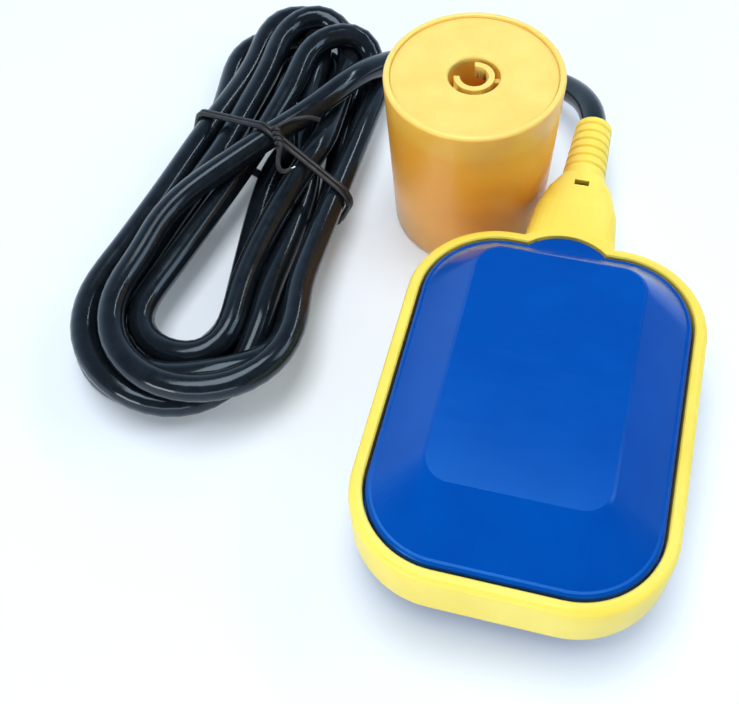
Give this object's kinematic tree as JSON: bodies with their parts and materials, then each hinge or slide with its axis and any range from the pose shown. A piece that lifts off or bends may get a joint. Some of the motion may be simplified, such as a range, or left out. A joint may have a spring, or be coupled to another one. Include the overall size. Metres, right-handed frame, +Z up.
{
  "type": "float switch",
  "caption": "Cable float switch for tanks: blue shells in a moulded yellow frame, ribbed cable gland, tied hank of black cable and an orange counterweight standing beside it.",
  "frame": {"origin": "the centre of the float's flat underside, on the ground the float, counterweight and cable lie on", "axes": "+Z up, +Y along the float toward its cable gland, +X across the float away from the counterweight"},
  "size_m": [0.1777, 0.2062, 0.0572],
  "materials": {
    "yellow_frame": "satin moulded thermoplastic",
    "blue_shell": "glossy moulded polypropylene",
    "seal_rubber": "soft moulded rubber",
    "cable_sheath": "smooth glossy sheath",
    "core_brown": "extruded insulation",
    "core_blue": "extruded insulation",
    "core_black": "extruded insulation",
    "carrier_white": "natural moulded plastic",
    "ball_steel": "polished bearing steel",
    "switch_black": "moulded thermoset",
    "plain_steel": "zinc plated",
    "plunger_red": "moulded plastic",
    "terminal_brass": "stamped sheet",
    "weight_orange": "slightly translucent moulded plastic",
    "weight_lid": "slightly translucent moulded plastic",
    "ballast_iron": "rough cast",
    "tie_black": "plastic-covered wire"
  },
  "bodies": {
    "float": {"float_frame": "yellow_frame", "upper_shell": "blue_shell", "lower_shell": "blue_shell", "cable_seal": "seal_rubber", "cable_entry": "cable_sheath", "core_brown": "core_brown", "core_blue": "core_blue", "core_black": "core_black", "carrier": "carrier_white", "carrier_cover": "carrier_white", "switch_case": "switch_black", "switch_cover": "switch_black", "switch_screw_left": "plain_steel", "switch_screw_right": "plain_steel", "lever_pin": "plain_steel", "terminal_com": "terminal_brass", "terminal_no": "terminal_brass", "terminal_nc": "terminal_brass", "contact_blade": "terminal_brass", "weight_cup": "weight_orange", "weight_lid": "weight_lid", "weight_ballast": "ballast_iron", "cable_clip": "weight_orange", "cable_run": "cable_sheath", "cable_hank": "cable_sheath", "bundle_tie": "tie_black", "end_core_brown": "core_brown", "end_core_blue": "core_blue", "end_core_black": "core_black"},
    "ball": {"steel_ball": "ball_steel"},
    "lever": {"lever": "plain_steel"},
    "plunger": {"plunger": "plunger_red"}
  },
  "joints": [
    {"name": "ball_roll", "type": "slide", "parent": "float", "child": "ball", "axis": [0, 1, 0], "range_m": [-0.0112, 0.0237]},
    {"name": "switch_lever", "type": "hinge", "parent": "float", "child": "lever", "pos_m": [0.0123, 0.018, 0.0203], "axis": [0, 0, -1], "range_deg": [0, 5], "stiffness_Nm_per_rad": 0.05},
    {"name": "plunger_push", "type": "slide", "parent": "float", "child": "plunger", "axis": [0, 1, 0], "range_m": [0, 0.00075]}
  ],
  "couplings": [
    {"joint": "plunger_push", "follows": "switch_lever", "m_per_rad": 0.0083}
  ]
}
